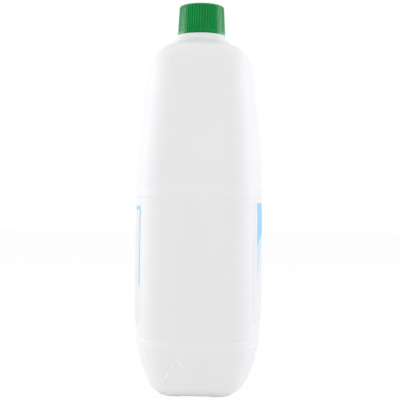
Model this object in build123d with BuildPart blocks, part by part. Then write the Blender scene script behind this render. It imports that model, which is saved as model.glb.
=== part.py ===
from build123d import *
import math
import os

# A blown household bottle with a push-and-turn screw cap, in millimetres, +Z up.
# X is the width and Y the depth, with the front label on -Y and the back label on +Y.
# The origin is the centre of the foot, on the surface that the bottle stands on.

# Body: its widest section, whose four faces are shallow arcs joined by corner arcs
body_width = 102.0
body_depth = 87.8
face_radius = 120.0
side_radius = 200.0
corner_radius = 17.0
wall = 0.9
floor = 1.8

# Body heights: the heel's top, the step from there to the panel, and the upper belt
heel_top = 43.0
panel_rise = 1.6
belt_bottom = 130.9
belt_height = 6.3

# Heel: how far it leans in to the foot, and its rounding there
heel_inset_width = 1.5
heel_inset_depth = 12.5
heel_corner_radius = 13.0
heel_radius = 9.0

# Upper belt: a groove below it and a ledge above it
belt_groove = 0.4
belt_ledge = 0.5
belt_line_width = 0.5

# Lower belt: a raised band this far below the heel's top, and a line pressed in below it
low_belt_drop = 6.6
low_belt_height = 6.4
low_belt_arch = 4.0
low_belt_relief = 0.35
low_line_drop = 4.3
low_line_width = 0.8
low_line_depth = 0.3
side_panel_margin = 17.4

# Foot: the hollow inside its rim, whose corners have at most this share of half the
# length of its narrow ends, and the notch where the mould pinches it off
foot_rim_width = 4.5
foot_dish_corner_radius = 9.0
foot_dish_corner_share = 1.02
foot_dish_height = 2.6
foot_dish_slope = 5.0
pinch_width = 24.0
pinch_slope = 4.0
pinch_height = 1.0

# Neck: its mouth and tube, then how far the bead reaches past the cap's rim, the ring
# past the bead and the foot past the ring
mouth_height = 260.2
mouth_chamfer = 0.4
neck_radius = 12.15
neck_wall = 1.75
neck_bead_reach = 0.6
neck_bead_thickness = 0.9
neck_bead_gap = 0.15
neck_bead_step = 0.55
neck_edge_radius = 0.35
neck_ring_reach = 1.2
neck_ring_height = 1.3
neck_foot_reach = 1.0

# Inner cap and its liner, with the room between neck and cap for the thread
liner_thickness = 1.0
inner_top_thickness = 1.1
thread_room = 1.25
inner_wall = 0.8
inner_chamfer = 0.5
inner_rise = 1.3

# Drive lugs, between the two caps
lug_count = 8
lug_height = 0.6
lug_width = 2.4
lug_ramp = 0.9
lug_length = 3.6
lug_end_margin = 1.3
lug_gap = 0.1

# Outer cap, wider at its rim than at its crown
cap_height = 21.0
cap_top_thickness = 1.2
cap_flare = 1.0
cap_edge_radius = 2.0
cap_wall = 0.8
cap_band_height = 2.0
rib_count = 60
rib_height = 0.3
rib_root_width = 1.2
rib_crest_width = 0.55
catch_thickness = 0.5
catch_overlap = 0.3

# Labels: their distance from the body's sides, and from the panel's bottom and top
label_thickness = 0.25
label_glue = 0.1
label_side_margin = 13.0
label_corner_radius = 4.0
front_label_rise = 3.4
front_label_drop = 3.5
back_label_rise = 1.4
back_label_drop = 6.0

# Clearance between moving pieces, and how far a cut runs past what it cuts
clearance = 0.3
overrun = 5.0

# Shares of the height from the belt to the shoulder's top, and there of the way from
# the body's section to the neck's foot in width, depth and roundness
upper_shares = (
    (0.0, 0.0, 0.0, 0.0),
    (0.14, 0.015, 0.012, 0.0),
    (0.30, 0.045, 0.055, 0.0),
    (0.47, 0.09, 0.125, 0.01),
    (0.63, 0.14, 0.19, 0.02),
    (0.74, 0.20, 0.25, 0.04),
    (0.82, 0.28, 0.325, 0.08),
    (0.88, 0.385, 0.43, 0.16),
    (0.925, 0.52, 0.575, 0.32),
    (0.965, 0.73, 0.78, 0.60),
    (1.0, 1.0, 1.0, 1.0),
)

# Shares of the heel's height, and there of how far it leans in, in width and in depth
heel_shares = (
    (0.0, 1.0, 1.0),
    (0.25, 0.56, 0.56),
    (0.50, 0.28, 0.28),
    (0.75, 0.10, 0.15),
    (1.0, 0.0, 0.07),
)

# Radii of the near-round section at the neck's foot, as shares of its half width
round_face_share = 1.3
round_corner_share = 0.85

# Body sizes that follow from the ones above
half_width = body_width / 2
half_depth = body_depth / 2
panel_bottom = heel_top + panel_rise
belt_top = belt_bottom + belt_height
low_belt_top = heel_top - low_belt_drop
low_belt_bottom = low_belt_top - low_belt_height
side_panel_half_width = half_depth - side_panel_margin
label_half_width = half_width - label_side_margin
front_label_bottom = panel_bottom + front_label_rise
front_label_top = belt_bottom - front_label_drop
back_label_bottom = panel_bottom + back_label_rise
back_label_top = belt_bottom - back_label_drop

# Heights of the caps, from the mouth up and then down again to the bead
push_travel = lug_height + clearance
liner_top = mouth_height + liner_thickness
inner_top = liner_top + inner_top_thickness
cap_ceiling = inner_top + 2 * lug_height + clearance + lug_gap
cap_top = cap_ceiling + cap_top_thickness
cap_bottom = cap_top - cap_height
inner_bottom = cap_bottom + inner_rise
catch_top = inner_bottom - clearance
bead_top = cap_bottom - push_travel - neck_bead_gap
bead_bottom = bead_top - neck_bead_thickness
neck_ring_top = bead_bottom - neck_bead_step
shoulder_top = neck_ring_top - neck_ring_height

# Radii of the neck and the caps, from the bore out
neck_bore_radius = neck_radius - neck_wall
inner_bore_radius = neck_radius + thread_room
inner_radius = inner_bore_radius + inner_wall
lug_start_radius = inner_radius - inner_chamfer - lug_end_margin - lug_length
cap_crown_radius = inner_radius + clearance + cap_wall + rib_height
cap_rim_radius = cap_crown_radius + cap_flare
neck_bead_radius = cap_rim_radius + neck_bead_reach
neck_ring_radius = neck_bead_radius + neck_ring_reach
neck_foot_radius = neck_ring_radius + neck_foot_reach


def blend(start, end, share):
    """The value that lies this share of the way from start to end."""
    return start + (end - start) * share


def body_section(height, width, depth, face, side, corner):
    """A section of the body: its half width, its half depth and the radii of its arcs."""
    face_centre = Vector(0, depth - face)
    side_centre = Vector(width - side, 0)
    between = side_centre - face_centre
    span = between.length
    along = ((face - corner) ** 2 - (side - corner) ** 2 + span**2) / (2 * span)
    across = math.sqrt((face - corner) ** 2 - along**2)
    outward = Vector(between.Y, -between.X).normalized()
    corner_centre = face_centre + between.normalized() * along + outward * across
    face_end = face_centre + (corner_centre - face_centre).normalized() * face
    side_end = side_centre + (corner_centre - side_centre).normalized() * side
    with BuildSketch(Plane.XY.offset(height)) as section:
        with BuildLine():
            face_arc = TangentArc((0, depth), (face_end.X, face_end.Y), tangent=(1, 0))
            corner_arc = TangentArc(face_arc @ 1, (side_end.X, side_end.Y), tangent=face_arc % 1)
            TangentArc(corner_arc @ 1, (width, 0), tangent=corner_arc % 1)
            mirror(about=Plane.YZ)
            mirror(about=Plane.XZ)
        make_face()
    return section.sketch


def widest_section(height, inset):
    """The widest section at this height, with its faces moved in by the inset."""
    return body_section(
        height,
        half_width - inset,
        half_depth - inset,
        face_radius - inset,
        side_radius - inset,
        corner_radius - inset,
    )


def heel_sections(inset):
    """The sections from the foot to the panel, with their faces moved in by the inset."""
    sections = []
    for height_share, width_share, depth_share in heel_shares:
        sections.append(
            body_section(
                blend(inset * floor / wall, heel_top, height_share),
                half_width - heel_inset_width * width_share - inset,
                half_depth - heel_inset_depth * depth_share - inset,
                face_radius - inset,
                side_radius - inset,
                blend(corner_radius, heel_corner_radius, depth_share) - inset,
            )
        )
    return sections


def upper_sections(inset):
    """The sections from the belt to the neck's foot, with their faces moved in."""
    neck_foot = neck_foot_radius - inset
    round_bend = 1 / (neck_foot * round_face_share)
    sections = []
    for height_share, width_share, depth_share, round_share in upper_shares:
        sections.append(
            body_section(
                blend(belt_top, shoulder_top - inset, height_share),
                blend(half_width - belt_ledge - inset, neck_foot, width_share),
                blend(half_depth - belt_ledge - inset, neck_foot, depth_share),
                1 / blend(1 / (face_radius - inset), round_bend, round_share),
                1 / blend(1 / (side_radius - inset), round_bend, round_share),
                blend(corner_radius - inset, neck_foot * round_corner_share, round_share),
            )
        )
    return sections


def body_form(inset, belt_lines):
    """The body's closed form below the neck, with its faces moved in by the inset."""
    heel = heel_sections(inset)
    upper = upper_sections(inset)
    middle = [heel[-1], widest_section(panel_bottom, inset)]
    if belt_lines:
        middle.append(widest_section(belt_bottom - belt_line_width, inset))
        middle.append(widest_section(belt_bottom, inset + belt_groove))
        middle.append(widest_section(belt_bottom + belt_line_width, inset))
    middle.append(widest_section(belt_top - belt_line_width, inset))
    middle.append(upper[0])
    with BuildPart() as form:
        loft(sections=heel)
        fillet(form.faces().sort_by(Axis.Z)[0].edges(), heel_radius - inset)
        loft(sections=middle, ruled=True)
        loft(sections=upper)
    return form.part


def arched_slab(top, bottom, arch):
    """A slab across the depth whose two surfaces sink by the arch towards X = 0."""
    arch_end = half_width - corner_radius
    with BuildPart() as slab:
        with BuildSketch(Plane.XZ):
            with BuildLine():
                low = Spline((0, bottom - arch), (arch_end, bottom), tangents=((1, 0), (1, 0)))
                low_end = Line(low @ 1, (half_width + overrun, bottom))
                high = Spline((0, top - arch), (arch_end, top), tangents=((1, 0), (1, 0)))
                high_end = Line(high @ 1, (half_width + overrun, top))
                Line(low_end @ 1, high_end @ 1)
                Line(low @ 0, high @ 0)
            make_face()
            mirror(about=Plane.YZ)
        extrude(amount=half_depth + overrun, both=True)
    return slab.part


def foot_dish(cover):
    """The hollow inside the foot's rim, or the raised floor that covers it inside."""
    foot_inset = heel_radius + foot_rim_width - cover
    with BuildPart() as dish:
        for height, inset in (
            (-overrun, 0),
            (cover, 0),
            (cover + foot_dish_height, foot_dish_slope),
        ):
            width = half_width - heel_inset_width - foot_inset - inset
            depth = half_depth - heel_inset_depth - foot_inset - inset
            end_half = depth - face_radius + math.sqrt(face_radius**2 - width**2)
            corner = min(foot_dish_corner_radius, foot_dish_corner_share * end_half)
            add(body_section(height, width, depth, face_radius, side_radius, corner))
        loft(ruled=True)
    return dish.part


def label_film(bottom, top):
    """A film on the back face between two heights, on a thin layer of glue."""
    with BuildPart() as film:
        with BuildSketch(Plane.XY.offset(bottom)):
            with Locations((0, half_depth - face_radius)):
                Circle(face_radius + label_glue + label_thickness)
                Circle(face_radius + label_glue, mode=Mode.SUBTRACT)
        extrude(amount=top - bottom)
        with BuildSketch(Plane.XZ):
            with Locations((0, (bottom + top) / 2)):
                RectangleRounded(2 * label_half_width, top - bottom, label_corner_radius)
        extrude(amount=-(half_depth + overrun), mode=Mode.INTERSECT)
    return film.part


def drive_lug(height, direction):
    """A lug on a cap's face at this height, with one steep side and one ramp."""
    tip = height + direction * lug_height
    with BuildPart() as lug:
        with BuildSketch(Plane.YZ.offset(lug_start_radius)):
            with BuildLine():
                Polyline(
                    (-lug_width / 2, height),
                    (lug_width / 2, height),
                    (lug_width / 2, tip),
                    (lug_ramp - lug_width / 2, tip),
                    close=True,
                )
            make_face()
        extrude(amount=lug_length)
    return lug.part


def cap_crest():
    """The outer cap's closed envelope over its ribs."""
    with BuildPart() as crest:
        with BuildSketch(Plane.XZ) as profile:
            with BuildLine():
                Polyline(
                    (0, cap_bottom),
                    (cap_rim_radius, cap_bottom),
                    (cap_crown_radius, cap_top),
                    (0, cap_top),
                    close=True,
                )
            make_face()
            fillet(profile.vertices().group_by(Axis.Y)[-1].sort_by(Axis.X)[-1], cap_edge_radius)
        revolve(axis=Axis.Z)
    return crest.part


def rib_section(height, radius):
    """A rib's section, with its crest at this radius and its root inside the wall."""
    root = radius - rib_height
    with BuildSketch(Plane.XY.offset(height)) as section:
        with BuildLine():
            Polyline(
                (root - rib_height, -rib_root_width / 2),
                (root, -rib_root_width / 2),
                (radius, -rib_crest_width / 2),
                (radius, rib_crest_width / 2),
                (root, rib_root_width / 2),
                (root - rib_height, rib_root_width / 2),
                close=True,
            )
        make_face()
    return section.sketch


os.makedirs("parts", exist_ok=True)

# Bottle, from the outside in: its form, its belts, its neck, its foot and its hollow
outside = body_form(0, belt_lines=True)

with BuildPart() as low_belt:
    add(arched_slab(low_belt_top, low_belt_bottom, 0))
    add(arched_slab(low_belt_top, low_belt_bottom, low_belt_arch))
    add(body_form(-low_belt_relief, belt_lines=False), mode=Mode.INTERSECT)

with BuildPart() as low_line:
    low_line_top = low_belt_bottom - low_line_drop
    add(arched_slab(low_line_top, low_line_top - low_line_width, low_belt_arch))
    Box(
        body_width + 2 * overrun,
        2 * side_panel_half_width,
        2 * low_belt_top,
        mode=Mode.SUBTRACT,
    )
    add(body_form(low_line_depth, belt_lines=False), mode=Mode.SUBTRACT)

with BuildPart() as hollow:
    add(body_form(wall, belt_lines=False))
    with BuildSketch(Plane.XZ):
        with BuildLine():
            Polyline(
                (0, shoulder_top - overrun),
                (neck_foot_radius - wall, shoulder_top - wall),
                (neck_bore_radius, bead_top),
                (neck_bore_radius, mouth_height + overrun),
                (0, mouth_height + overrun),
                close=True,
            )
        make_face()
    revolve(axis=Axis.Z)
    add(foot_dish(floor), mode=Mode.SUBTRACT)

with BuildPart() as bottle:
    add(outside)
    add(low_belt.part)
    add(low_line.part, mode=Mode.SUBTRACT)
    with BuildSketch(Plane.XZ) as neck_profile:
        with BuildLine():
            Polyline(
                (0, shoulder_top - overrun),
                (neck_foot_radius, shoulder_top),
                (neck_ring_radius, neck_ring_top),
                (neck_bead_radius, bead_bottom),
                (neck_bead_radius, bead_top),
                (neck_radius, bead_top),
                (neck_radius, mouth_height - mouth_chamfer),
                (neck_radius - mouth_chamfer, mouth_height),
                (0, mouth_height),
                close=True,
            )
        make_face()
        bead_corners = neck_profile.vertices().filter_by_position(
            Axis.X, neck_bead_radius, neck_bead_radius
        )
        fillet(bead_corners, neck_edge_radius)
    revolve(axis=Axis.Z)
    add(foot_dish(0), mode=Mode.SUBTRACT)
    with BuildSketch(Plane.YZ):
        with BuildLine():
            Polyline(
                (-pinch_width / 2, -overrun),
                (-pinch_width / 2, 0),
                (pinch_slope - pinch_width / 2, pinch_height),
                (pinch_width / 2 - pinch_slope, pinch_height),
                (pinch_width / 2, 0),
                (pinch_width / 2, -overrun),
                close=True,
            )
        make_face()
    extrude(amount=half_width, both=True, mode=Mode.SUBTRACT)
    add(hollow.part, mode=Mode.SUBTRACT)
bottle.part.label = "bottle"
export_step(bottle.part, "parts/bottle.step")

# Labels: a film on each face
with BuildPart() as front_label:
    add(label_film(front_label_bottom, front_label_top), rotation=(0, 0, 180))
front_label.part.label = "front_label"
export_step(front_label.part, "parts/front_label.step")

with BuildPart() as back_label:
    add(label_film(back_label_bottom, back_label_top))
back_label.part.label = "back_label"
export_step(back_label.part, "parts/back_label.step")

# Liner, pressed between the mouth and the inner cap
with BuildPart() as cap_liner:
    with BuildSketch(Plane.XY.offset(mouth_height)):
        Circle(inner_bore_radius - clearance)
    extrude(amount=liner_thickness)
cap_liner.part.label = "cap_liner"
export_step(cap_liner.part, "parts/cap_liner.step")

# Inner cap: a skirt round the thread, a top over the liner and lugs on the top
with BuildPart() as inner_cap:
    with BuildSketch(Plane.XY.offset(inner_bottom)):
        Circle(inner_radius)
    extrude(amount=inner_top - inner_bottom)
    chamfer(inner_cap.edges().group_by(Axis.Z)[-1], inner_chamfer)
    with BuildSketch(Plane.XY.offset(inner_bottom)):
        Circle(inner_bore_radius)
    extrude(amount=liner_top - inner_bottom, mode=Mode.SUBTRACT)
    with PolarLocations(0, lug_count):
        add(drive_lug(inner_top, 1))
inner_cap.part.label = "inner_cap"
export_step(inner_cap.part, "parts/inner_cap.step")

# Outer cap: a ribbed shell, a plain band at its rim, lugs under its top and a catch
with BuildPart() as rib:
    rim_section = rib_section(cap_bottom, cap_rim_radius)
    crown_section = rib_section(cap_top, cap_crown_radius)
    loft(sections=[rim_section, crown_section], ruled=True)
    add(cap_crest(), mode=Mode.INTERSECT)

with BuildPart() as outer_cap:
    rim_root = cap_rim_radius - rib_height
    crown_root = cap_crown_radius - rib_height
    band_top = cap_bottom + cap_band_height
    with BuildSketch(Plane.XZ) as shell_profile:
        with BuildLine():
            Polyline(
                (0, cap_ceiling),
                (crown_root - cap_wall, cap_ceiling),
                (rim_root - cap_wall, catch_top),
                (inner_radius - catch_overlap, catch_top),
                (inner_radius - catch_overlap, catch_top - catch_thickness),
                (rim_root - cap_wall, cap_bottom),
                (cap_rim_radius, cap_bottom),
                (cap_rim_radius, band_top - rib_height),
                (rim_root, band_top),
                (crown_root, cap_top),
                (0, cap_top),
                close=True,
            )
        make_face()
        crown_corner = shell_profile.vertices().group_by(Axis.Y)[-1].sort_by(Axis.X)[-1]
        fillet(crown_corner, cap_edge_radius)
    revolve(axis=Axis.Z)
    with PolarLocations(0, rib_count):
        add(rib.part)
    with PolarLocations(0, lug_count, start_angle=180 / lug_count):
        add(drive_lug(cap_ceiling, -1))
outer_cap.part.label = "outer_cap"
export_step(outer_cap.part, "parts/outer_cap.step")

print("brimful litres", round(hollow.part.volume / 1e6, 3))
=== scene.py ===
import math

import bmesh
import bpy
from mathutils import Matrix, Vector


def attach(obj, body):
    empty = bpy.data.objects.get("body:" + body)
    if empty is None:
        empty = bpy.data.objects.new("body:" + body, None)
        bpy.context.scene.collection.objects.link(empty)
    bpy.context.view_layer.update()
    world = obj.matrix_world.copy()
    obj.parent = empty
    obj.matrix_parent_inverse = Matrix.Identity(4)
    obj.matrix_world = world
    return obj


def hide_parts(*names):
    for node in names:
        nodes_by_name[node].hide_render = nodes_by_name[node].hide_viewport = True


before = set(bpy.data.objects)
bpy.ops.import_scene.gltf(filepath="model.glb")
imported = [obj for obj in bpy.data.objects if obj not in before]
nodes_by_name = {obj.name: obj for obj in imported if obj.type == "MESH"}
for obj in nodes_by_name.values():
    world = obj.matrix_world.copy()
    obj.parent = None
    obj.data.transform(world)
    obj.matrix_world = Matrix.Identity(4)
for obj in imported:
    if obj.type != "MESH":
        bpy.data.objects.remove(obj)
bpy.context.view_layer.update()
collection = bpy.context.scene.collection

# All lengths below are in millimetres until a mesh is made, then in metres
MM = 0.001

# Body, as in the CAD solid apart from the collar at the neck's foot
HALF_WIDTH = 51.0
HALF_DEPTH = 43.9
FACE_RADIUS = 120.0
SIDE_RADIUS = 200.0
CORNER_RADIUS = 17.0
WALL = 0.9
HEEL_TOP = 43.0
HEEL_INSET_WIDTH = 1.5
HEEL_INSET_DEPTH = 12.5
HEEL_CORNER_RADIUS = 13.0
HEEL_RADIUS = 9.0
BELT_BOTTOM = 130.9
BELT_TOP = 137.2
BELT_GROOVE = 0.4
BELT_LEDGE = 0.5
SHOULDER_TOP = 240.3
NECK_FOOT_RADIUS = 19.4
# Share of the heel's height, then of its inset in width and in depth
HEEL_SHARES = (
    (0.0, 1.0, 1.0),
    (0.25, 0.56, 0.56),
    (0.50, 0.28, 0.28),
    (0.75, 0.10, 0.15),
    (1.0, 0.0, 0.07),
)
# Share of the height from the belt to the neck, then of the way in width, depth and roundness
UPPER_SHARES = (
    (0.0, 0.0, 0.0, 0.0),
    (0.14, 0.015, 0.012, 0.0),
    (0.30, 0.045, 0.055, 0.0),
    (0.47, 0.09, 0.125, 0.01),
    (0.63, 0.14, 0.19, 0.02),
    (0.74, 0.20, 0.25, 0.04),
    (0.82, 0.28, 0.325, 0.08),
    (0.88, 0.385, 0.43, 0.16),
    (0.925, 0.52, 0.575, 0.32),
    (0.9476, 0.635, 0.690, 0.47),
    (0.9544, 0.675, 0.755, 0.54),
    (0.9612, 0.720, 0.855, 0.64),
    (0.968, 0.770, 0.922, 0.74),
    (0.9748, 0.825, 0.950, 0.83),
    (0.9816, 0.880, 0.967, 0.90),
    (1.0, 1.0, 1.0, 1.0),
)
ROUND_FACE_SHARE = 1.3
ROUND_CORNER_SHARE = 0.85

# Foot: the rim of its hollow, and the hollow's rows as inset, share of the way out and height
FOOT_HALF_WIDTH = 36.0
FOOT_HALF_DEPTH = 17.9
FOOT_CORNER_RADIUS = 9.0
DISH = (
    (5.2, 0.02, 2.6),
    (5.2, 0.5, 2.6),
    (5.2, 0.97, 2.6),
    (4.7, 1.0, 2.45),
    (2.5, 1.0, 1.3),
    (0.4, 1.0, 0.15),
    (-0.2, 1.0, 0.0),
    (-1.5, 1.0, 0.0),
)
# Rows of the rounding at the foot, as shares of the turn from the wall to the ground
FOOT_TURNS = (1.0, 0.94, 0.88, 0.82, 0.75, 0.68, 0.6, 0.52, 0.44, 0.36, 0.28, 0.2, 0.12, 0.04)
# Notch across the foot: its height, and where it begins and ends in depth
NOTCH_HEIGHT = 1.0
NOTCH_FLAT = 8.0
NOTCH_END = 12.0

# Inside: rows of the hollow from the shoulder down, then the floor's rows as inset and height
INNER_HEIGHTS = (
    238, 235.5, 232.5, 229, 224, 218, 210, 195, 175, 150, 120, 90, 60, 43, 35, 28, 21, 15, 9
)
INNER_FLOOR = ((7.5, 4.6), (12.0, 2.6), (20.0, 4.4))
INNER_CORNER_RADIUS = 8.0

# Neck and caps
NECK_RADIUS = 12.15
BORE_RADIUS = 10.4
MOUTH = 260.2
BEAD_TOP = 243.05
# Radius, height, and share of the way from the body's section to a plain circle
NECK_PROFILE = (
    (19.18, 240.55, 0.1),
    (18.9, 240.9, 0.3),
    (18.6, 241.25, 0.55),
    (18.25, 241.55, 0.8),
    (17.85, 241.8, 1.0),
    (17.45, 241.98, 1.0),
    (17.25, 242.1, 1.0),
    (17.16, 242.22, 1.0),
    (17.28, 242.36, 1.0),
    (17.3, 242.9, 1.0),
    (17.28, 243.5, 1.0),
    (17.2, 243.8, 1.0),
    (17.08, 243.92, 1.0),
    (16.98, 243.88, 1.0),
    (16.94, 243.7, 1.0),
    (16.92, 243.2, 1.0),
    (16.8, 243.07, 1.0),
    (16.5, BEAD_TOP, 1.0),
    (12.75, BEAD_TOP, 1.0),
    (12.3, 243.2, 1.0),
    (NECK_RADIUS, 243.6, 1.0),
    (NECK_RADIUS, 247.0, 1.0),
    (NECK_RADIUS, 253.0, 1.0),
    (NECK_RADIUS, 259.8, 1.0),
    (12.02, 260.1, 1.0),
    (11.75, MOUTH, 1.0),
    (10.8, MOUTH, 1.0),
    (10.5, 260.1, 1.0),
    (BORE_RADIUS, 259.8, 1.0),
    (BORE_RADIUS, 250.0, 1.0),
    (BORE_RADIUS, 244.0, 1.0),
    (10.9, BEAD_TOP, 1.0),
    (18.5, 239.4, 1.0),
)
# Threads: how far they climb in a turn, their lowest middle, turns, first angle and radii
THREAD_PITCH = 4.233
THREAD_LOW = 247.4
THREAD_TURNS = 2.25
THREAD_START = 0.6
NECK_CREST = 13.15
CAP_BORE = 13.4
CAP_CREST = 12.45

# Labels, from their lower to their upper edge
FRONT_LABEL_HEIGHTS = (48.0, 127.4)
BACK_LABEL_HEIGHTS = (46.0, 124.9)

# Parting line and lower belt. Relief is how far they stand out from the wall
PARTING_RELIEF = 0.26
PARTING_HALF = 0.34
LOWER_BELT_TOP = 36.4
LOWER_BELT_BOTTOM = 30.2
LOWER_BELT_RELIEF = 0.35


def blend(start, end, share):
    return start + (end - start) * share


def smooth_step(value, low, high):
    share = min(1.0, max(0.0, (value - low) / (high - low)))
    return share * share * (3 - 2 * share)


def slopes(xs, ys):
    """Slopes of a smooth curve through points that never overshoots them."""
    count = len(xs)
    steps = [xs[i + 1] - xs[i] for i in range(count - 1)]
    rises = [(ys[i + 1] - ys[i]) / steps[i] for i in range(count - 1)]
    result = [rises[0]]
    for i in range(1, count - 1):
        if rises[i - 1] * rises[i] <= 0:
            result.append(0.0)
            continue
        first = 2 * steps[i] + steps[i - 1]
        second = steps[i] + 2 * steps[i - 1]
        result.append((first + second) / (first / rises[i - 1] + second / rises[i]))
    result.append(rises[-1])
    return result


def curve_through(xs, ys):
    """A smooth function through the points."""
    tangents = slopes(xs, ys)

    def value(x):
        x = min(max(x, xs[0]), xs[-1])
        i = 0
        while i < len(xs) - 2 and x > xs[i + 1]:
            i += 1
        step = xs[i + 1] - xs[i]
        t = (x - xs[i]) / step
        return (
            ys[i] * (1 + 2 * t) * (1 - t) ** 2
            + ys[i + 1] * t * t * (3 - 2 * t)
            + tangents[i] * step * t * (1 - t) ** 2
            + tangents[i + 1] * step * t * t * (t - 1)
        )

    return value


heel_heights = [s[0] * HEEL_TOP for s in HEEL_SHARES]
heel_width = curve_through(heel_heights, [s[1] for s in HEEL_SHARES])
heel_depth = curve_through(heel_heights, [s[2] for s in HEEL_SHARES])
upper_heights = [blend(BELT_TOP, SHOULDER_TOP, s[0]) for s in UPPER_SHARES]
upper_width = curve_through(upper_heights, [s[1] for s in UPPER_SHARES])
upper_depth = curve_through(upper_heights, [s[2] for s in UPPER_SHARES])
upper_round = curve_through(upper_heights, [s[3] for s in UPPER_SHARES])


def heel_ease(z):
    """One at the heel and nothing above it, with a soft change at its top."""
    return 1 - smooth_step(z, HEEL_TOP - 6, HEEL_TOP + 16)


def section_sizes(z):
    """Half width, half depth and the three radii of the body's section at height z."""
    if z <= HEEL_TOP:
        return (
            HALF_WIDTH - HEEL_INSET_WIDTH * heel_width(z),
            HALF_DEPTH - HEEL_INSET_DEPTH * heel_depth(z) * heel_ease(z),
            FACE_RADIUS,
            SIDE_RADIUS,
            blend(CORNER_RADIUS, HEEL_CORNER_RADIUS, heel_depth(z)),
        )
    if z <= BELT_TOP:
        lean = HEEL_SHARES[-1][2] * heel_ease(z)
        return (
            HALF_WIDTH,
            HALF_DEPTH - HEEL_INSET_DEPTH * lean,
            FACE_RADIUS,
            SIDE_RADIUS,
            CORNER_RADIUS,
        )
    bend = 1 / (NECK_FOOT_RADIUS * ROUND_FACE_SHARE)
    roundness = upper_round(z)
    return (
        blend(HALF_WIDTH - BELT_LEDGE, NECK_FOOT_RADIUS, upper_width(z)),
        blend(HALF_DEPTH - BELT_LEDGE, NECK_FOOT_RADIUS, upper_depth(z)),
        1 / blend(1 / FACE_RADIUS, bend, roundness),
        1 / blend(1 / SIDE_RADIUS, bend, roundness),
        blend(CORNER_RADIUS, NECK_FOOT_RADIUS * ROUND_CORNER_SHARE, roundness),
    )


# Columns of a quarter section: shares along the side arc, the corner arc and the face arc
SIDE_STEPS = (
    0.0, 0.006, 0.012, 0.02, 0.04, 0.08, 0.14, 0.22, 0.31, 0.41, 0.52, 0.63, 0.74, 0.84, 0.93
)
CORNER_STEPS = [i / 14 for i in range(14)]
FACE_STEPS = [i / 16 for i in range(17)]


def quarter(width, depth, face, side, corner):
    """Points and outward directions of the section's quarter, from (width, 0) to (0, depth)."""
    face_centre = Vector((0, depth - face))
    side_centre = Vector((width - side, 0))
    between = side_centre - face_centre
    span = between.length
    along = ((face - corner) ** 2 - (side - corner) ** 2 + span**2) / (2 * span)
    across = math.sqrt(max((face - corner) ** 2 - along**2, 0))
    outward = Vector((between.y, -between.x)).normalized()
    corner_centre = face_centre + between.normalized() * along + outward * across
    face_way = corner_centre - face_centre
    side_way = corner_centre - side_centre
    face_angle = math.atan2(face_way.y, face_way.x)
    side_angle = math.atan2(side_way.y, side_way.x)
    points = []
    for share in SIDE_STEPS:
        points.append((side_centre, side, share * side_angle))
    for share in CORNER_STEPS:
        points.append((corner_centre, corner, blend(side_angle, face_angle, share)))
    for share in FACE_STEPS:
        points.append((face_centre, face, blend(face_angle, math.pi / 2, share)))
    result = []
    for centre, radius, angle in points:
        way = Vector((math.cos(angle), math.sin(angle)))
        result.append((centre + way * radius, way))
    return result


def whole(section):
    """The full ring from a quarter, starting at (+width, 0) and turning towards +Y."""
    ring = list(section)
    ring += [(Vector((-p.x, p.y)), Vector((-w.x, w.y))) for p, w in reversed(section[:-1])]
    ring += [(Vector((-p.x, -p.y)), Vector((-w.x, -w.y))) for p, w in section[1:]]
    ring += [(Vector((p.x, -p.y)), Vector((w.x, -w.y))) for p, w in reversed(section[1:-1])]
    return ring


def body_ring(z, inset=0.0):
    """Ring of points and outward directions round the body at height z."""
    width, depth, face, side, corner = section_sizes(z)
    return whole(
        quarter(width - inset, depth - inset, face - inset, side - inset, corner - inset)
    )


def foot_ring(turn):
    """Ring on the rounding between the body and the foot, at this turn from the wall."""
    sizes = section_sizes(0)
    insets = []
    for reach, lean in ((HEEL_INSET_WIDTH, heel_width), (HEEL_INSET_DEPTH, heel_depth)):
        slope = reach * (lean(0) - lean(HEEL_RADIUS)) / HEEL_RADIUS
        tilt = math.atan(slope)
        centre = HEEL_RADIUS / math.cos(tilt) - slope * HEEL_RADIUS
        angle = blend(tilt, math.pi / 2, turn)
        insets.append((centre - HEEL_RADIUS * math.cos(angle), HEEL_RADIUS * (1 - math.sin(angle))))
    (width_in, width_z), (depth_in, depth_z) = insets
    inset = (width_in + depth_in) / 2
    ring = whole(
        quarter(
            sizes[0] - width_in,
            sizes[1] - depth_in,
            sizes[2] - inset,
            sizes[3] - inset,
            max(sizes[4] - inset, 0.5),
        )
    )
    result = []
    for point, way in ring:
        share = way.x**2
        result.append((point, way, blend(depth_z, width_z, share)))
    return result


# Belts and lines, as a push outwards from the plain body
def bump(value, centre, half):
    """A smooth rise to one at the centre and to nothing at half its width away."""
    share = abs(value - centre) / half
    return 0.0 if share >= 1 else (1 - share * share) ** 2


def arch(point):
    """How far the lower belt sinks here: most at the middle of the wide faces."""
    share = min(1.0, abs(point.x) / (HALF_WIDTH - CORNER_RADIUS))
    return 4.0 * (1 - share * share * (3 - 2 * share))


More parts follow.
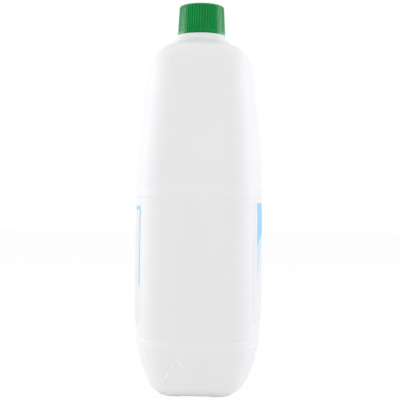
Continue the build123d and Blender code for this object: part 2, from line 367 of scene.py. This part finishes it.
def relief(z, point):
    """How far the moulded belts and lines stand out from the body here."""
    push = 0.0
    across = abs(point.y)
    flat = 1 - smooth_step(across, 16.0, 30.0)
    side = max(0.0, 1 - (across / 26.0) ** 2)
    # Upper belt: a rounded ledge above it, and the panel set in below it
    if z > BELT_TOP:
        push += BELT_LEDGE * (1 - smooth_step(z, BELT_TOP - 0.3, BELT_TOP + 1.4 + 1.0 * flat))
    set_in = 1 - smooth_step(z, BELT_BOTTOM - 0.7 - 1.2 * flat, BELT_BOTTOM + 0.6 + 0.8 * flat)
    push -= BELT_GROOVE * (1 - 0.55 * flat) * smooth_step(z, 114.0, 129.0) * set_in
    # Lower belt, its edges softer on the narrow faces
    sink = arch(point)
    top = LOWER_BELT_TOP - 0.7 * side
    bottom = LOWER_BELT_BOTTOM - sink - 0.9 * side
    lower_edge = 0.75 + 2.3 * flat
    raised = smooth_step(z, bottom - lower_edge, bottom + lower_edge)
    raised *= 1 - smooth_step(z, top - 0.5, top + 0.5 + 0.3 * flat)
    push += LOWER_BELT_RELIEF * raised
    # A line below it, on the wide faces only
    if across > 26.5:
        fade = smooth_step(across, 26.5, 28.5)
        push -= 0.22 * bump(z, 25.3 - sink, 0.8) * fade
    # A shallow mark of the mould on the belt of the near narrow face
    if point.x < 0:
        push -= 0.06 * bump(z, 132.4, 2.4) * bump(point.y, -0.8, 3.2)
    # Parting line, a fine ridge down the middle of the narrow faces, clearest at the neck
    ridge = PARTING_RELIEF * blend(0.07, 1.0, smooth_step(z, 226, 236))
    push += ridge * max(0.0, 1 - across / PARTING_HALF)
    return push


def spread(low, high, step):
    """Even heights from low on, at most a step apart, up to high but without it."""
    count = max(1, int(math.ceil((high - low) / step)))
    return [low + (high - low) * i / count for i in range(count)]


def body_heights():
    """Heights of the mesh's rows, close together at the belts and the shoulder."""
    heights = spread(HEEL_RADIUS, 20, 1.2)
    heights += spread(20, 40, 0.3)
    heights += spread(40, 47, 0.8)
    heights += spread(47, 129, 3.5)
    heights += spread(129, 138.6, 0.2)
    heights += spread(138.6, 200, 2.6)
    heights += spread(200, 230, 1.2)
    heights += spread(230, SHOULDER_TOP, 0.3)
    return heights


def object_from(name, vertices, faces):
    """A smooth shaded object, with its origin in the shared frame's."""
    mesh = bpy.data.meshes.new(name)
    mesh.from_pydata([(x * MM, y * MM, z * MM) for x, y, z in vertices], [], faces)
    mesh.validate()
    mesh.polygons.foreach_set("use_smooth", [True] * len(mesh.polygons))
    mesh.update()
    made = bpy.data.objects.new(name, mesh)
    collection.objects.link(made)
    return made


def rings_to_faces(ring_count, ring_size, closed=False):
    """The faces between rings of points that follow each other."""
    faces = []
    last = ring_count if closed else ring_count - 1
    for row in range(last):
        low = row * ring_size
        high = ((row + 1) % ring_count) * ring_size
        for i in range(ring_size):
            j = (i + 1) % ring_size
            faces.append((low + i, low + j, high + j, high + i))
    return faces


def tube_from(name, rings):
    """An object through rings of the same size, closed by a face at each end."""
    size = len(rings[0])
    vertices = [v for ring in rings for v in ring]
    faces = rings_to_faces(len(rings), size)
    faces.append(tuple(reversed(range(size))))
    last = (len(rings) - 1) * size
    faces.append(tuple(range(last, last + size)))
    return object_from(name, vertices, faces)


def pinch(y):
    """Height of the notch across the foot at this depth."""
    return NOTCH_HEIGHT * (1 - smooth_step(abs(y), NOTCH_FLAT, NOTCH_END))


def foot_rings():
    """Rings of the foot, from the middle of its hollow out to the wall."""
    rings = []
    for inset, share, height in DISH:
        rim = quarter(
            FOOT_HALF_WIDTH - inset,
            FOOT_HALF_DEPTH - inset,
            FACE_RADIUS,
            SIDE_RADIUS,
            FOOT_CORNER_RADIUS,
        )
        ring = []
        for point, _ in whole(rim):
            flat = point * share
            ring.append((flat.x, flat.y, max(height, pinch(flat.y))))
        rings.append(ring)
    for turn in FOOT_TURNS:
        rings.append([(p.x, p.y, max(z, pinch(p.y))) for p, _, z in foot_ring(turn)])
    return rings


def outside_rings():
    """Rings of the wall's outside with its relief, from the foot up to the neck's foot."""
    rings = []
    for z in body_heights():
        ring = []
        for point, way in body_ring(z):
            out = relief(z, point)
            ring.append((point.x + way.x * out, point.y + way.y * out, z))
        rings.append(ring)
    return rings


def neck_rings():
    """Rings of the neck: its foot, its bead, its wall up to the mouth, and its bore."""
    rings = []
    top_ring = body_ring(SHOULDER_TOP)
    for radius, z, turned in NECK_PROFILE:
        ring = []
        for point, _ in top_ring:
            angle = math.atan2(point.y, point.x)
            turned_point = Vector((math.cos(angle), math.sin(angle))) * radius
            body_point = point * (radius / NECK_FOOT_RADIUS)
            flat = body_point.lerp(turned_point, turned)
            # The parting line runs on over the neck's foot and its bead
            if 16 < radius < 20 and z > 240:
                ridge = PARTING_RELIEF * max(0.0, 1 - abs(flat.y) / PARTING_HALF)
                flat = flat * (1 + ridge / radius)
            ring.append((flat.x, flat.y, z))
        rings.append(ring)
    return rings


def inside_rings():
    """Rings of the hollow, from the shoulder down to the middle of its floor."""
    sizes = section_sizes(0)
    rings = []
    for z in INNER_HEIGHTS:
        rings.append([(p.x, p.y, z) for p, _ in body_ring(z, WALL)])
    for inset, z in INNER_FLOOR:
        row = quarter(
            sizes[0] - inset, sizes[1] - inset, sizes[2], sizes[3], INNER_CORNER_RADIUS
        )
        rings.append([(p.x, p.y, z) for p, _ in whole(row)])
    rings.append([(x * 0.02, y * 0.02, z) for x, y, z in rings[-1]])
    return rings


def make_bottle():
    """The blown bottle: its outside from the foot up, its neck, and its inside down again."""
    rings = foot_rings() + outside_rings() + neck_rings() + inside_rings()
    made = tube_from("bottle_blown", rings)
    made.data.polygons[-1].use_smooth = False
    return made


def side_face(y, z):
    """Distance of the narrow face's surface from the middle plane, at this place."""
    sizes = section_sizes(z)
    width, side = sizes[0], sizes[3]
    return width - side + math.sqrt(side**2 - y**2)


def make_touch_mark():
    """A raised outline of a plain triangle, low on the near narrow face."""
    corners = ((11.5, 26.0), (21.0, 10.2), (2.0, 10.2))
    half, round_off, crest, base, root = 0.8, 1.2, 0.30, 0.02, 0.3
    path = []
    for index, (y, z) in enumerate(corners):
        before = Vector(corners[index - 1]) - Vector((y, z))
        after = Vector(corners[(index + 1) % 3]) - Vector((y, z))
        start = Vector((y, z)) + before.normalized() * round_off
        end = Vector((y, z)) + after.normalized() * round_off
        for step in range(5):
            share = step / 4
            first = start.lerp(Vector((y, z)), share)
            second = Vector((y, z)).lerp(end, share)
            path.append(first.lerp(second, share))
        stop = Vector(corners[(index + 1) % 3]) - after.normalized() * round_off
        for step in range(1, 24):
            path.append(end.lerp(stop, step / 24))
    count = len(path)
    vertices = []
    offsets = [i / 7 for i in range(-7, 8)]
    for index, spot in enumerate(path):
        way = (path[(index + 1) % count] - path[index - 1]).normalized()
        across = Vector((-way.y, way.x))
        for offset in offsets:
            place = spot + across * offset * half
            height = crest * (1 - offset * offset) ** 1.6 - base
            vertices.append((-(side_face(place.x, place.y) + height), place.x, place.y))
        for offset in (0.7, -0.7):
            place = spot + across * offset * half
            vertices.append((-(side_face(place.x, place.y) - root), place.x, place.y))
    return object_from("touch_mark", vertices, rings_to_faces(count, len(offsets) + 2, closed=True))


def make_thread(name, root, crest, low):
    """A screw thread's ridge on a root radius, rising counter-clockwise, with run-out ends."""
    steps_per_turn = 96
    steps = int(THREAD_TURNS * steps_per_turn)
    rings = []
    out = 1 if crest > root else -1
    for step in range(steps + 1):
        angle = THREAD_START + 2 * math.pi * THREAD_TURNS * step / steps
        z = low + THREAD_PITCH * THREAD_TURNS * step / steps
        run = smooth_step(min(step, steps - step) / steps_per_turn, 0.0, 0.09)
        height = abs(crest - root) * max(run, 0.02)
        section = (
            (-0.25 * out, -1.15),
            (0.0, -1.05),
            (height * 0.45 * out, -0.78),
            (height * 0.92 * out, -0.5),
            (height * out, -0.3),
            (height * out, 0.3),
            (height * 0.92 * out, 0.5),
            (height * 0.45 * out, 0.78),
            (0.0, 1.05),
            (-0.25 * out, 1.15),
        )
        ring = []
        for reach, rise in section:
            radius = root + reach
            height_here = z + rise * (0.35 + 0.65 * run)
            ring.append((radius * math.cos(angle), radius * math.sin(angle), height_here))
        rings.append(ring)
    return tube_from(name, rings)


def make_label(name, side, bottom, top):
    """A film on the wide face: side is -1 for the front and 1 for the back."""
    half, round_corner, outer, thickness = 38.0, 4.0, FACE_RADIUS + 0.11, 0.08
    rises = [round_corner * (1 - math.cos(math.pi / 2 * i / 8)) for i in range(8)]
    heights = [bottom + rise for rise in rises]
    heights += [blend(bottom + round_corner, top - round_corner, i / 40) for i in range(41)]
    heights += [top - rise for rise in reversed(rises)]
    columns = 64
    rings = []
    for z in heights:
        gap = max(0.0, round_corner - min(z - bottom, top - z))
        reach = half - round_corner + math.sqrt(max(round_corner**2 - gap**2, 0.0))
        front = []
        back = []
        middle = section_sizes(z)[1] + relief(z, Vector((0.0, HALF_DEPTH)))
        for i in range(columns + 1):
            across = -reach + 2 * reach * i / columns
            angle = math.asin(across / outer)
            for radius, row in ((outer, front), (outer - thickness, back)):
                y = middle - FACE_RADIUS + radius * math.cos(angle)
                row.append((side * -1 * radius * math.sin(angle), side * y, z))
        rings.append(front + list(reversed(back)))
    size = len(rings[0])
    vertices = [v for ring in rings for v in ring]
    faces = rings_to_faces(len(rings), size)
    for row, flip in ((0, True), (len(rings) - 1, False)):
        for i in range(columns):
            a = row * size + i
            quad = (a, a + 1, row * size + size - 2 - i, row * size + size - 1 - i)
            faces.append(tuple(reversed(quad)) if flip else quad)
    made = object_from(name, vertices, faces)
    form = bmesh.new()
    form.from_mesh(made.data)
    bmesh.ops.recalc_face_normals(form, faces=form.faces)
    form.to_mesh(made.data)
    form.free()
    made.data.set_sharp_from_angle(angle=math.radians(40))
    return made


# Materials
def new_material(name):
    """A material with one principled shader, and what is needed to go on with it."""
    material = bpy.data.materials.new(name)
    material.use_nodes = True
    nodes = material.node_tree.nodes
    nodes.clear()
    output = nodes.new("ShaderNodeOutputMaterial")
    shader = nodes.new("ShaderNodeBsdfPrincipled")
    material.node_tree.links.new(shader.outputs["BSDF"], output.inputs["Surface"])
    return material, nodes, material.node_tree.links, shader


def noise(nodes, links, scale, detail, roughness, stretch=None):
    """Noise in the object's own coordinates."""
    coordinates = nodes.new("ShaderNodeTexCoord")
    texture = nodes.new("ShaderNodeTexNoise")
    texture.inputs["Scale"].default_value = scale
    texture.inputs["Detail"].default_value = detail
    texture.inputs["Roughness"].default_value = roughness
    if stretch:
        mapping = nodes.new("ShaderNodeMapping")
        mapping.inputs["Scale"].default_value = stretch
        links.new(coordinates.outputs["Object"], mapping.inputs["Vector"])
        links.new(mapping.outputs["Vector"], texture.inputs["Vector"])
    else:
        links.new(coordinates.outputs["Object"], texture.inputs["Vector"])
    return texture.outputs["Fac"]


def ramp(nodes, links, source, stops):
    """A colour ramp. Each stop is a position and a colour."""
    made = nodes.new("ShaderNodeValToRGB")
    elements = made.color_ramp.elements
    while len(elements) > 1:
        elements.remove(elements[-1])
    elements[0].position = stops[0][0]
    elements[0].color = (*stops[0][1], 1)
    for position, colour in stops[1:]:
        element = elements.new(position)
        element.color = (*colour, 1)
    links.new(source, made.inputs["Fac"])
    return made.outputs["Color"]


def spread_range(nodes, links, source, low, high, start=0.3, end=0.7):
    """The source's values from start to end, as values from low to high."""
    made = nodes.new("ShaderNodeMapRange")
    made.inputs["From Min"].default_value = start
    made.inputs["From Max"].default_value = end
    made.inputs["To Min"].default_value = low
    made.inputs["To Max"].default_value = high
    links.new(source, made.inputs["Value"])
    return made.outputs["Result"]


def add_bump(nodes, links, shader, height, strength, distance, under=None):
    """A bump on the shader, on top of the one under it where there is one."""
    made = nodes.new("ShaderNodeBump")
    made.inputs["Strength"].default_value = strength
    made.inputs["Distance"].default_value = distance
    links.new(height, made.inputs["Height"])
    if under:
        links.new(under.outputs["Normal"], made.inputs["Normal"])
    links.new(made.outputs["Normal"], shader.inputs["Normal"])
    return made


def bottle_material(name, subsurface):
    """Natural white blown polyethylene: satin, faintly cloudy, finely grained by the mould."""
    material, nodes, links, shader = new_material(name)
    cloud = noise(nodes, links, 22, 2.0, 0.5, stretch=(1, 1, 0.35))
    colour = ramp(nodes, links, cloud, (
        (0.3, (0.808, 0.808, 0.812)),
        (0.7, (0.832, 0.832, 0.836)),
    ))
    links.new(colour, shader.inputs["Base Color"])
    grain = noise(nodes, links, 900, 2.0, 0.6)
    waves = noise(nodes, links, 60, 2.0, 0.5, stretch=(1, 1, 0.5))
    links.new(spread_range(nodes, links, waves, 0.36, 0.46), shader.inputs["Roughness"])
    first = add_bump(nodes, links, shader, waves, 0.12, 0.0006)
    add_bump(nodes, links, shader, grain, 0.10, 0.0001, under=first)
    shader.inputs["Specular IOR Level"].default_value = 0.45
    shader.inputs["IOR"].default_value = 1.54
    shader.inputs["Subsurface Weight"].default_value = subsurface
    shader.inputs["Subsurface Radius"].default_value = (0.6, 0.65, 0.7)
    shader.inputs["Subsurface Scale"].default_value = 0.003
    return material


def cap_material():
    """Green moulded polypropylene, satin, with fine flow variation."""
    material, nodes, links, shader = new_material("pp_green")
    cloud = noise(nodes, links, 140, 3.0, 0.55)
    colour = ramp(nodes, links, cloud, (
        (0.3, (0.004, 0.190, 0.036)),
        (0.7, (0.006, 0.225, 0.047)),
    ))
    links.new(colour, shader.inputs["Base Color"])
    fine = noise(nodes, links, 1600, 2.0, 0.6)
    links.new(spread_range(nodes, links, cloud, 0.26, 0.34), shader.inputs["Roughness"])
    add_bump(nodes, links, shader, fine, 0.10, 0.0001)
    # A soft skin: little gloss straight on, more towards the sides
    layer = nodes.new("ShaderNodeLayerWeight")
    layer.inputs["Blend"].default_value = 0.5
    gloss = spread_range(nodes, links, layer.outputs["Facing"], 0.0, 1.0, 0.24, 0.40)
    links.new(gloss, shader.inputs["Specular IOR Level"])
    shader.inputs["IOR"].default_value = 1.49
    shader.inputs["Sheen Weight"].default_value = 1.0
    shader.inputs["Sheen Roughness"].default_value = 0.45
    shader.inputs["Sheen Tint"].default_value = (0.2, 1.0, 0.45, 1.0)
    return material


def plain_plastic(name, low, high, roughness, scale=160):
    """A satin plastic between two colours, finely grained."""
    material, nodes, links, shader = new_material(name)
    cloud = noise(nodes, links, scale, 3.0, 0.5)
    links.new(ramp(nodes, links, cloud, ((0.3, low), (0.7, high))), shader.inputs["Base Color"])
    fine = noise(nodes, links, 1400, 2.0, 0.6)
    links.new(
        spread_range(nodes, links, cloud, roughness - 0.05, roughness + 0.05),
        shader.inputs["Roughness"],
    )
    add_bump(nodes, links, shader, fine, 0.12, 0.0001)
    shader.inputs["Specular IOR Level"].default_value = 0.4
    return material


def math_node(nodes, links, operation, first, second=None):
    """The result of an operation on numbers or on other nodes' outputs."""
    made = nodes.new("ShaderNodeMath")
    made.operation = operation
    for index, value in enumerate((first, second)):
        if value is None:
            continue
        if isinstance(value, (int, float)):
            made.inputs[index].default_value = value
        else:
            links.new(value, made.inputs[index])
    return made.outputs[0]


def mix_colour(nodes, links, share, first, second):
    """The first colour where the share is zero and the second where it is one."""
    made = nodes.new("ShaderNodeMix")
    made.data_type = "RGBA"
    links.new(share, made.inputs["Factor"])
    for socket, value in ((made.inputs[6], first), (made.inputs[7], second)):
        if isinstance(value, tuple):
            socket.default_value = (*value, 1)
        else:
            links.new(value, socket)
    return made.outputs[2]


def edge(nodes, links, value, position, softness=0.0002):
    """Zero below the position and one above it, with a soft change between them."""
    made = nodes.new("ShaderNodeMapRange")
    made.inputs["From Min"].default_value = -softness
    made.inputs["From Max"].default_value = softness
    gap = math_node(nodes, links, "SUBTRACT", value, position)
    links.new(gap, made.inputs["Value"])
    return made.outputs["Result"]


def place_on_face(nodes, links):
    """The object's own x and z in metres, by which a label's fields are placed."""
    coordinates = nodes.new("ShaderNodeTexCoord")
    parts = nodes.new("ShaderNodeSeparateXYZ")
    links.new(coordinates.outputs["Object"], parts.inputs["Vector"])
    return parts.outputs["X"], parts.outputs["Z"]


def finish_film(nodes, links, shader, colour):
    """Print on a gloss film: faint unevenness in the colour, and a slightly wavy surface."""
    cloud = noise(nodes, links, 220, 3.0, 0.5)
    tint = nodes.new("ShaderNodeMix")
    tint.data_type = "RGBA"
    tint.blend_type = "MULTIPLY"
    tint.inputs["Factor"].default_value = 1.0
    links.new(colour, tint.inputs[6])
    faint = ramp(nodes, links, cloud, ((0.3, (0.97, 0.97, 0.97)), (0.7, (1, 1, 1))))
    links.new(faint, tint.inputs[7])
    links.new(tint.outputs[2], shader.inputs["Base Color"])
    links.new(spread_range(nodes, links, cloud, 0.44, 0.50), shader.inputs["Roughness"])
    waves = noise(nodes, links, 30, 1.0, 0.5)
    add_bump(nodes, links, shader, waves, 0.05, 0.00003)
    shader.inputs["Specular IOR Level"].default_value = 0.25


# Places on the labels in metres, by height or by distance from the middle
FRONT_CYAN_HEIGHT = 0.1078
FRONT_CYAN_BOW = -9.0
FRONT_STREAK_HEIGHT = 0.0755
FRONT_MARGIN = 0.0310
BACK_PANEL_HALF = 0.0355
BACK_PANEL_TOP = 0.1222
BACK_BORDER_FOOT = 0.0720
CYAN = (0.28, 0.64, 0.87)
PALE_BLUE = (0.61, 0.75, 0.86)
FILM_WHITE = (0.81, 0.815, 0.83)


def front_label_material():
    """Plain fields: cyan above a curved edge, and pale blue streaks below it on white."""
    material, nodes, links, shader = new_material("film_front")
    x, z = place_on_face(nodes, links)
    squared = math_node(nodes, links, "MULTIPLY", x, x)
    bow = math_node(nodes, links, "MULTIPLY", squared, FRONT_CYAN_BOW)
    cyan_edge = math_node(nodes, links, "ADD", bow, FRONT_CYAN_HEIGHT)
    across = math_node(nodes, links, "ABSOLUTE", x)
    lean = math_node(nodes, links, "MULTIPLY", math_node(nodes, links, "SUBTRACT", 0.093, z), 0.5)
    inner_edge = math_node(nodes, links, "ADD", lean, 0.0205)
    pale = math_node(
        nodes, links, "MULTIPLY",
        edge(nodes, links, across, inner_edge, 0.0006),
        edge(nodes, links, z, FRONT_STREAK_HEIGHT, 0.0006),
    )
    colour = mix_colour(nodes, links, pale, FILM_WHITE, PALE_BLUE)
    colour = mix_colour(nodes, links, edge(nodes, links, z, cyan_edge, 0.0004), colour, CYAN)
    margin = edge(nodes, links, across, FRONT_MARGIN)
    colour = mix_colour(nodes, links, margin, colour, FILM_WHITE)
    finish_film(nodes, links, shader, colour)
    return material


def back_label_material():
    """A blue border round the upper part of a plain pale panel."""
    material, nodes, links, shader = new_material("film_back")
    x, z = place_on_face(nodes, links)
    across = math_node(nodes, links, "ABSOLUTE", x)
    panel = edge(nodes, links, across, BACK_PANEL_HALF)
    top = edge(nodes, links, z, BACK_PANEL_TOP)
    frame_share = math_node(nodes, links, "MAXIMUM", panel, top)
    above = edge(nodes, links, z, BACK_BORDER_FOOT)
    frame_share = math_node(nodes, links, "MULTIPLY", frame_share, above)
    colour = mix_colour(nodes, links, panel, (0.78, 0.775, 0.76), FILM_WHITE)
    colour = mix_colour(nodes, links, frame_share, colour, CYAN)
    finish_film(nodes, links, shader, colour)
    return material


def paint(made, material):
    """Gives the whole object this one material."""
    made.data.materials.clear()
    made.data.materials.append(material)


hdpe = bottle_material("hdpe_white", 0.25)
green = cap_material()
bottle = make_bottle()
paint(bottle, hdpe)
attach(bottle, "bottle_body")
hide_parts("bottle")


def add_piece(made, material, body, slot, *replaced):
    """A piece of the visual model: its look, its body and what it stands for. The slot is not used.
    """
    paint(made, material)
    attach(made, body)
    if replaced:
        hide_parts(*replaced)


inner_white = plain_plastic("pp_white", (0.80, 0.80, 0.80), (0.84, 0.84, 0.84), 0.40)
film_front = front_label_material()
film_back = back_label_material()
add_piece(make_touch_mark(), bottle_material("hdpe_mark", 0.0), "bottle_body", "bottle_white")
add_piece(
    make_thread("neck_thread", NECK_RADIUS, NECK_CREST, THREAD_LOW),
    hdpe, "bottle_body", "bottle_white",
)
add_piece(
    make_thread("cap_thread", CAP_BORE, CAP_CREST, THREAD_LOW + THREAD_PITCH / 2),
    inner_white, "inner_cap_body", "inner_cap_white",
)
add_piece(
    make_label("front_film", -1, *FRONT_LABEL_HEIGHTS),
    film_front, "bottle_body", "front_label_film", "front_label",
)
add_piece(
    make_label("back_film", 1, *BACK_LABEL_HEIGHTS),
    film_back, "bottle_body", "back_label_film", "back_label",
)

paint(nodes_by_name["bottle"], hdpe)
paint(nodes_by_name["outer_cap"], green)
paint(nodes_by_name["inner_cap"], inner_white)
paint(
    nodes_by_name["cap_liner"],
    plain_plastic("liner_foam", (0.78, 0.78, 0.77), (0.85, 0.85, 0.84), 0.75, 900),
)
paint(nodes_by_name["front_label"], film_front)
paint(nodes_by_name["back_label"], film_back)


# Camera, at the photograph's angle
CAMERA_DISTANCE = 630.0
CAMERA_HEIGHT = 129.2
CAMERA_TURN = math.radians(1.97)
CAMERA_ROLL = math.radians(0.73)
CAMERA_LENS = 80.6
CAMERA_SHIFT = 0.00125


def make_camera():
    """The photograph's camera: level, a little turned and a little rolled."""
    data = bpy.data.cameras.new("camera")
    camera = bpy.data.objects.new("camera", data)
    collection.objects.link(camera)
    data.lens = CAMERA_LENS
    data.sensor_width = 36.0
    data.shift_x = CAMERA_SHIFT
    forward = Vector((math.cos(CAMERA_TURN), math.sin(CAMERA_TURN), 0))
    place = -forward * CAMERA_DISTANCE
    camera.location = (place.x * MM, place.y * MM, CAMERA_HEIGHT * MM)
    right = forward.cross(Vector((0, 0, 1)))
    up = Vector((0, 0, 1))
    rolled_up = up * math.cos(CAMERA_ROLL) - right * math.sin(CAMERA_ROLL)
    rolled_right = right * math.cos(CAMERA_ROLL) + up * math.sin(CAMERA_ROLL)
    turned = Matrix((rolled_right, rolled_up, -forward)).transposed()
    camera.rotation_euler = turned.to_euler()
    data.clip_start = 0.01
    data.clip_end = 20
    bpy.context.scene.camera = camera


# Lamps in watts, all aimed at the middle of the bottle
LEFT_POWER = 5.2
RIGHT_POWER = 5.5
NEAR_LEFT_POWER = 2.1
NEAR_RIGHT_POWER = 1.1
BACK_POWER = 0.6
TOP_POWER = 1.4
WORLD_STRENGTH = 0.725
FLOOR_WHITE_SHARE = 0.95
LIGHT_AIM = (0, 0, 0.13)
COOL_WHITE = (0.90, 0.915, 1.0)


def seen_rays(nodes, links):
    """1 for camera, glossy and transmission rays, 0 for those that light the object."""
    path = nodes.new("ShaderNodeLightPath")
    first = math_node(
        nodes, links, "MAXIMUM",
        path.outputs["Is Camera Ray"], path.outputs["Is Glossy Ray"],
    )
    return math_node(nodes, links, "MAXIMUM", first, path.outputs["Is Transmission Ray"])


def white_where_seen(nodes, links, shader_output, strength):
    """The surface's own shading, turned white for the rays that see it."""
    share = math_node(nodes, links, "MULTIPLY", seen_rays(nodes, links), strength)
    white = nodes.new("ShaderNodeEmission")
    white.inputs["Color"].default_value = (1, 1, 1, 1)
    white.inputs["Strength"].default_value = 1.0
    mixed = nodes.new("ShaderNodeMixShader")
    links.new(share, mixed.inputs["Fac"])
    links.new(shader_output, mixed.inputs[1])
    links.new(white.outputs["Emission"], mixed.inputs[2])
    return mixed.outputs["Shader"]


def make_stage():
    """The white floor under the object and the white world round it."""
    floor_mesh = bpy.data.meshes.new("floor")
    form = bmesh.new()
    size, front = 3.0, -0.7
    places = ((front, -size), (size, -size), (size, size), (front, size))
    form.faces.new([form.verts.new((x, y, 0)) for x, y in places])
    form.to_mesh(floor_mesh)
    form.free()
    floor = bpy.data.objects.new("floor", floor_mesh)
    collection.objects.link(floor)
    material = bpy.data.materials.new("floor_white")
    material.use_nodes = True
    nodes = material.node_tree.nodes
    links = material.node_tree.links
    nodes.clear()
    output = nodes.new("ShaderNodeOutputMaterial")
    diffuse = nodes.new("ShaderNodeBsdfDiffuse")
    diffuse.inputs["Color"].default_value = (0.94, 0.94, 0.94, 1)
    seen = white_where_seen(nodes, links, diffuse.outputs["BSDF"], FLOOR_WHITE_SHARE)
    links.new(seen, output.inputs["Surface"])
    floor.data.materials.append(material)

    world = bpy.data.worlds.new("studio")
    bpy.context.scene.world = world
    world.use_nodes = True
    nodes = world.node_tree.nodes
    links = world.node_tree.links
    nodes.clear()
    output = nodes.new("ShaderNodeOutputWorld")
    dim = nodes.new("ShaderNodeBackground")
    dim.inputs["Color"].default_value = (1, 1, 1, 1)
    dim.inputs["Strength"].default_value = WORLD_STRENGTH
    white = nodes.new("ShaderNodeBackground")
    white.inputs["Color"].default_value = (1, 1, 1, 1)
    white.inputs["Strength"].default_value = 1.0
    mixed = nodes.new("ShaderNodeMixShader")
    links.new(seen_rays(nodes, links), mixed.inputs["Fac"])
    links.new(dim.outputs["Background"], mixed.inputs[1])
    links.new(white.outputs["Background"], mixed.inputs[2])
    links.new(mixed.outputs["Shader"], output.inputs["Surface"])


def softbox(name, place, width, height, power, colour=(1, 1, 1)):
    """A rectangular lamp that the camera doesn't see. Place and size are in metres."""
    data = bpy.data.lights.new(name, "AREA")
    data.shape = "RECTANGLE"
    data.size = width
    data.size_y = height
    data.energy = power
    data.color = colour
    lamp = bpy.data.objects.new(name, data)
    lamp.location = place
    towards = Vector(LIGHT_AIM) - Vector(place)
    lamp.rotation_euler = towards.to_track_quat("-Z", "Y").to_euler()
    lamp.visible_camera = False
    collection.objects.link(lamp)


make_camera()
make_stage()
softbox("softbox_left", (0.08, 1.10, 0.35), 1.2, 1.1, LEFT_POWER, COOL_WHITE)
softbox("softbox_right", (0.08, -1.10, 0.35), 1.2, 1.1, RIGHT_POWER, COOL_WHITE)
softbox("softbox_near_left", (-0.85, 0.85, 0.40), 0.8, 1.0, NEAR_LEFT_POWER)
softbox("softbox_near_right", (-0.85, -0.85, 0.40), 0.8, 1.0, NEAR_RIGHT_POWER)
softbox("softbox_back", (1.20, 0, 0.45), 2.4, 1.2, BACK_POWER)
softbox("softbox_top", (0.15, 0, 1.30), 1.0, 1.0, TOP_POWER)

bpy.context.scene.view_settings.view_transform = "Standard"
